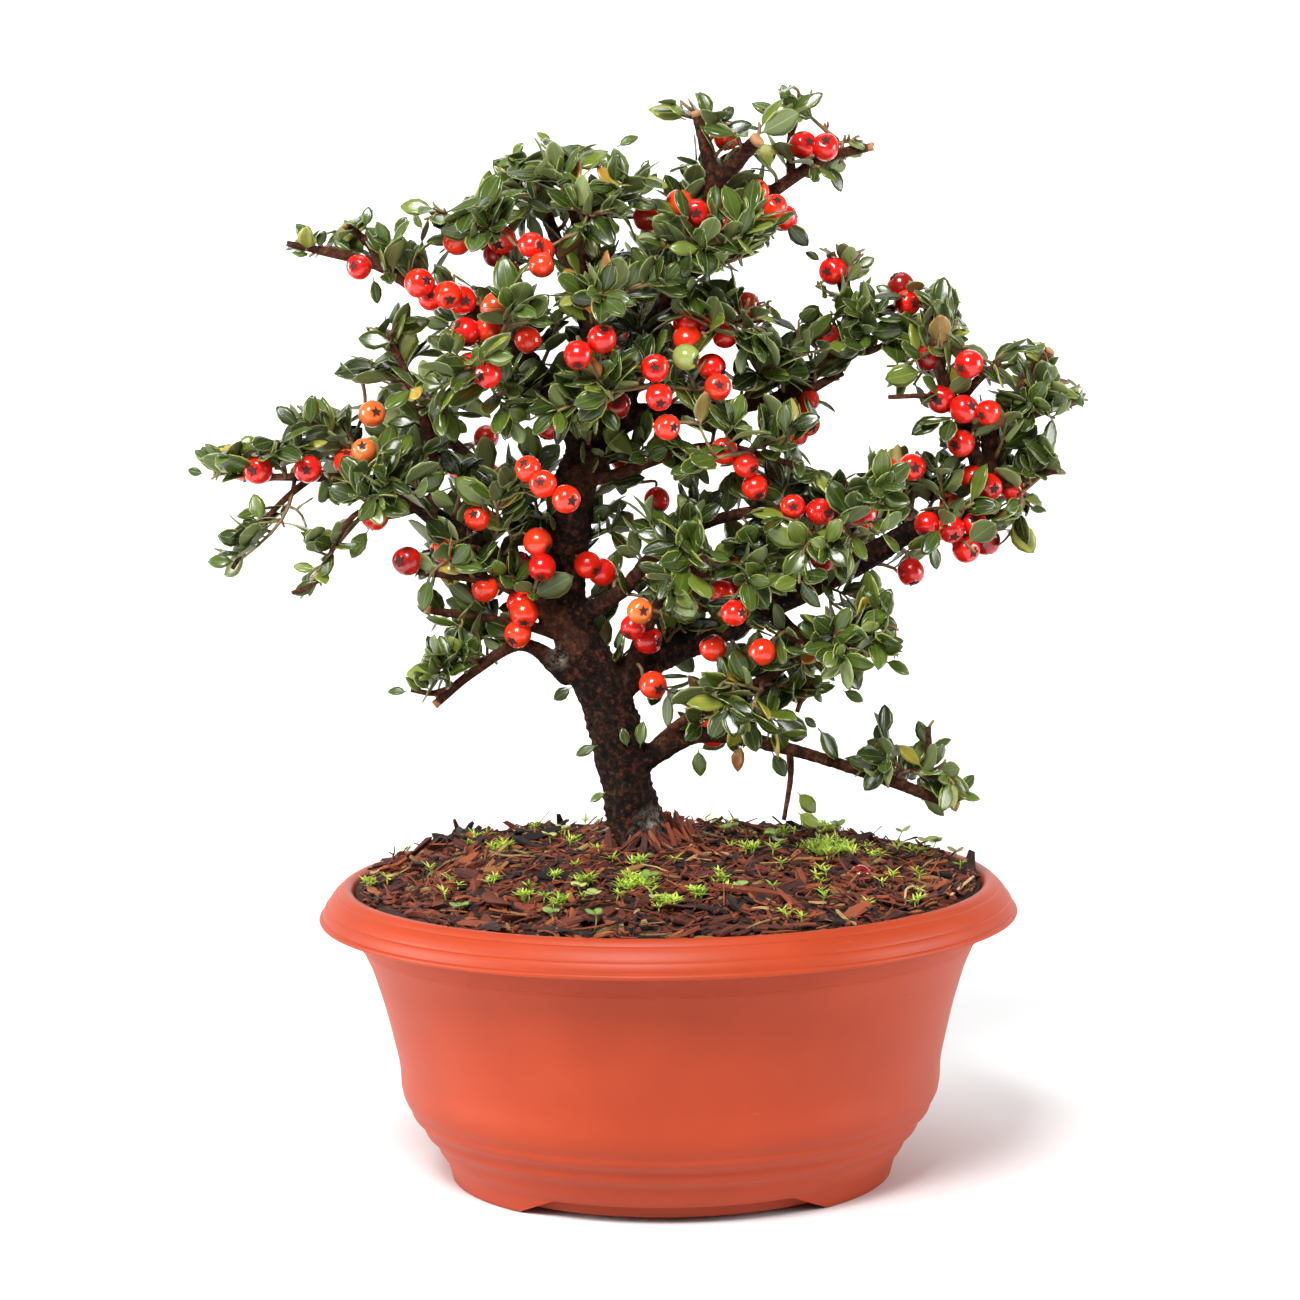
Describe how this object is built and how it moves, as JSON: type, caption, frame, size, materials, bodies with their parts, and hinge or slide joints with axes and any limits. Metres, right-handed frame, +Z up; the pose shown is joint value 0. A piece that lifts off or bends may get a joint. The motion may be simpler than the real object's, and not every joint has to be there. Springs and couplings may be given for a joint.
{
  "type": "cotoneaster bonsai",
  "caption": "Cotoneaster bonsai with small glossy leaves and red berries on a gnarled dark trunk, in a round terracotta-coloured plastic training bowl topped with bark mulch.",
  "frame": {"origin": "middle of the whole bonsai's footprint, on the floor that the bowl stands on", "axes": "+Z up along the bowl's axis; the pictured front faces -Y; +X is to the right in the picture"},
  "size_m": [0.2574, 0.2, 0.317],
  "materials": {
    "plastic": "satin terracotta-coloured moulded plastic",
    "mulch": "rough red-brown shredded bark",
    "bark": "rough dark brown bark",
    "leaf": "glossy leathery evergreen leaves",
    "fruit": "glossy bright red berry skin"
  },
  "bodies": {
    "root": {"bowl": "plastic", "mulch": "mulch", "trunk_and_boughs": "bark", "berries_left_tip": "fruit", "berries_left": "fruit", "berries_left_low": "fruit", "berries_upper_left_tip": "fruit", "berries_upper_left": "fruit", "berries_rise": "fruit", "berries_centre_top": "fruit", "berries_centre": "fruit", "berries_middle": "fruit", "berries_trunk": "fruit", "berries_trunk_low": "fruit", "berries_right_front": "fruit", "berries_right_mid": "fruit", "berries_arch": "fruit", "berries_front_right": "fruit", "berries_far_low": "fruit", "berries_far": "fruit", "berries_far_top": "fruit", "berries_upper_right": "fruit", "berries_leader": "fruit", "berries_top_right": "fruit", "leaves_left_tip": "leaf", "leaves_left_pad": "leaf", "leaves_left_front": "leaf", "leaves_left_middle": "leaf", "leaves_upper_left_tip": "leaf", "leaves_upper_left_rise": "leaf", "leaves_upper_left_front": "leaf", "leaves_upper_left_back": "leaf", "leaves_centre_back_top": "leaf", "leaves_centre_front_top": "leaf", "leaves_leader_tip": "leaf", "leaves_top_right": "leaf", "leaves_top_right_low": "leaf", "leaves_leader_front": "leaf", "leaves_side_right": "leaf", "leaves_centre_front": "leaf", "leaves_centre_low": "leaf", "leaves_mid_right": "leaf", "leaves_upper_right": "leaf", "leaves_upper_right_tip": "leaf", "leaves_far_rise": "leaf", "leaves_far_tip": "leaf", "leaves_far_low": "leaf", "leaves_big_right": "leaf", "leaves_front_right": "leaf", "leaves_thin_right": "leaf", "leaves_arch": "leaf", "leaves_arch_tip": "leaf", "leaves_grey": "leaf", "leaves_low_right": "leaf", "leaves_low_right_tip": "leaf", "leaves_low_left": "leaf", "leaves_left_inner": "leaf", "leaves_back_left": "leaf", "leaves_back_centre": "leaf", "leaves_back_right": "leaf"}
  },
  "joints": []
}
